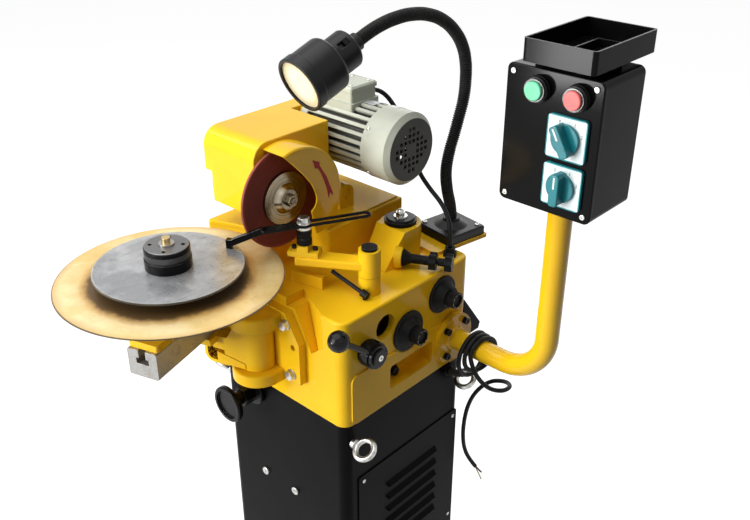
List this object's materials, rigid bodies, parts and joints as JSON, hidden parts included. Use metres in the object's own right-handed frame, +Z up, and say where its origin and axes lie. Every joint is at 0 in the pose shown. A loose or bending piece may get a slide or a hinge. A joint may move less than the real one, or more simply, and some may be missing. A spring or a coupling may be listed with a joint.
{
  "type": "saw blade sharpener",
  "caption": "Floor-standing circular saw blade grinder: rocking grinding head over a swivelling blade carriage with indexing pawl, work lamp and control box on an arm.",
  "frame": {"origin": "Centre of the cabinet's anchor pattern, on the floor.", "axes": "+Z up, -Y the front where the saw blade is, +X the side with the dials and the control arm."},
  "size_m": [0.688, 0.7206, 1.351],
  "materials": {
    "yellow_paint": "gloss enamel on cast iron",
    "black_paint": "semi-gloss black enamel",
    "grey_paint": "semi-gloss grey enamel",
    "zinc": "zinc plated",
    "steel": "turned or ground steel",
    "blackened_steel": "oiled black oxide",
    "cast_iron": "machined cast iron",
    "gold_steel": "gold-tinted ground steel",
    "abrasive": "resin-bonded abrasive",
    "black_plastic": "moulded, satin",
    "black_gloss": "moulded, gloss",
    "teal_plastic": "moulded, gloss",
    "white_plastic": "moulded plate with teal rim",
    "green_plastic": "moulded",
    "red_plastic": "moulded",
    "lens": "frosted",
    "cord_black": "sheathed cable",
    "rubber_belt": "moulded belt",
    "aluminium": "turned"
  },
  "bodies": {
    "frame": {"cabinet": "black_paint", "cabinet_covers": "black_paint", "zinc_fasteners": "zinc", "eyebolts": "zinc", "main_body": "yellow_paint", "stroke_cap": "black_plastic", "cable_glands": "black_plastic", "head_base": "yellow_paint", "carrier_bracket": "yellow_paint", "black_hardware": "blackened_steel", "feed_gearmotor": "grey_paint", "control_arm": "yellow_paint", "control_box": "black_gloss", "control_lid": "black_gloss", "button_housings": "black_plastic", "switch_plates": "white_plastic", "parts_tray": "black_gloss", "lamp_base": "black_plastic", "gooseneck": "black_plastic", "lamp_head": "black_plastic", "lamp_lens": "lens", "motor_cable": "cord_black", "mains_cable": "cord_black"},
    "head": {"head_frame": "yellow_paint", "spindle_bearings": "steel", "belt_cover": "yellow_paint", "wheel_guard": "yellow_paint", "drive_belt": "rubber_belt", "motor_body": "grey_paint", "motor_cowl": "grey_paint"},
    "wheel_spindle": {"spindle": "steel", "grinding_wheel": "abrasive", "wheel_flanges": "steel", "spindle_pulley": "aluminium"},
    "rotor": {"motor_rotor": "steel", "motor_pulley": "aluminium"},
    "swivel": {"swivel_arm": "yellow_paint", "slide_bar": "cast_iron"},
    "carriage": {"slide_block": "yellow_paint"},
    "blade_spindle": {"arbour": "steel", "saw_blade": "gold_steel", "index_plate": "steel", "hub_nut": "blackened_steel"},
    "link": {"link_arm": "yellow_paint", "link_shaft": "blackened_steel", "pawl_block": "yellow_paint"},
    "pawl": {"pawl": "blackened_steel"},
    "camshaft": {"camshaft": "steel"},
    "lift": {"lift_rod": "steel"},
    "lever": {"ball_lever": "black_gloss"},
    "lower_dial": {"lower_dial_knob": "black_plastic"},
    "upper_dial": {"upper_dial_knob": "black_plastic"},
    "lock": {"lock_knob": "black_plastic"},
    "screw": {"stroke_screw": "black_plastic"},
    "hand": {"hand_knob": "black_gloss"},
    "green": {"green_button": "green_plastic"},
    "red": {"red_button": "red_plastic"},
    "upper_switch": {"upper_switch_knob": "teal_plastic"},
    "lower_switch": {"lower_switch_knob": "teal_plastic"},
    "lamp_slider": {"lamp_switch": "black_plastic"}
  },
  "joints": [
    {"name": "head_rock", "type": "hinge", "parent": "frame", "child": "head", "pos_m": [0, 0.051, 1.01], "axis": [1, 0, 0], "range_deg": [-8, 0], "deforming": ["motor_cable"]},
    {"name": "lift_rod_slide", "type": "slide", "parent": "frame", "child": "lift", "axis": [0, 0, 1], "range_m": [0, 0.012]},
    {"name": "spindle_spin", "type": "hinge", "parent": "head", "child": "wheel_spindle", "pos_m": [0, -0.098, 1.0545], "axis": [1, 0, 0], "continuous": true},
    {"name": "motor_spin", "type": "hinge", "parent": "head", "child": "rotor", "pos_m": [0, 0.08, 1.1145], "axis": [1, 0, 0], "continuous": true},
    {"name": "carriage_swivel", "type": "hinge", "parent": "frame", "child": "swivel", "pos_m": [-0.012, -0.188, 0.72], "axis": [0, 0, 1], "range_deg": [0, 15]},
    {"name": "carriage_slide", "type": "slide", "parent": "swivel", "child": "carriage", "axis": [0.304, -0.9527, 0], "range_m": [0, 0.04]},
    {"name": "blade_spin", "type": "hinge", "parent": "carriage", "child": "blade_spindle", "pos_m": [-0.075, -0.29648, 0.972], "axis": [0, 0, 1], "continuous": true},
    {"name": "link_swing", "type": "hinge", "parent": "frame", "child": "link", "pos_m": [0.114, -0.052, 0.918], "axis": [0, 0, 1], "range_deg": [0, 12]},
    {"name": "pawl_swing", "type": "hinge", "parent": "link", "child": "pawl", "pos_m": [0.024, -0.107, 1.028], "axis": [0, 0, 1], "range_deg": [0, 20]},
    {"name": "cam_spin", "type": "hinge", "parent": "frame", "child": "camshaft", "pos_m": [0, -0.04, 0.78], "axis": [1, 0, 0], "continuous": true},
    {"name": "ball_lever_turn", "type": "hinge", "parent": "frame", "child": "lever", "pos_m": [0.158, -0.108, 0.851], "axis": [1, 0, 0], "range_deg": [-40, 40]},
    {"name": "lower_dial_turn", "type": "hinge", "parent": "frame", "child": "lower_dial", "pos_m": [0.158, -0.0075, 0.841], "axis": [1, 0, 0], "continuous": true},
    {"name": "upper_dial_turn", "type": "hinge", "parent": "frame", "child": "upper_dial", "pos_m": [0.158, 0.08, 0.873], "axis": [1, 0, 0], "continuous": true},
    {"name": "lock_knob_turn", "type": "hinge", "parent": "frame", "child": "lock", "pos_m": [0.1013, 0.0437, 0.937], "axis": [0.8829, 0.4695, 0], "continuous": true},
    {"name": "stroke_screw_turn", "type": "hinge", "parent": "frame", "child": "screw", "pos_m": [0.1013, 0.0437, 0.937], "axis": [0.8829, 0.4695, 0], "continuous": true},
    {"name": "hand_knob_turn", "type": "hinge", "parent": "frame", "child": "hand", "pos_m": [-0.073, -0.153, 0.685], "axis": [0, -1, 0], "continuous": true},
    {"name": "green_button_press", "type": "slide", "parent": "frame", "child": "green", "axis": [0, 1, 0], "range_m": [0, 0.004], "stiffness_N_per_m": 500},
    {"name": "red_button_press", "type": "slide", "parent": "frame", "child": "red", "axis": [0, 1, 0], "range_m": [0, 0.004], "stiffness_N_per_m": 500},
    {"name": "upper_switch_turn", "type": "hinge", "parent": "frame", "child": "upper_switch", "pos_m": [0.392, 0.038, 1.225], "axis": [0, -1, 0], "range_deg": [-75, 15]},
    {"name": "lower_switch_turn", "type": "hinge", "parent": "frame", "child": "lower_switch", "pos_m": [0.392, 0.038, 1.156], "axis": [0, -1, 0], "range_deg": [-45, 45]},
    {"name": "lamp_switch_slide", "type": "slide", "parent": "frame", "child": "lamp_slider", "axis": [-0.0966, -0.9187, -0.383], "range_m": [0, 0.0104]}
  ],
  "couplings": [
    {"joint": "motor_spin", "follows": "spindle_spin", "ratio": 1.9302},
    {"joint": "lift_rod_slide", "follows": "head_rock", "m_per_rad": -0.083}
  ]
}
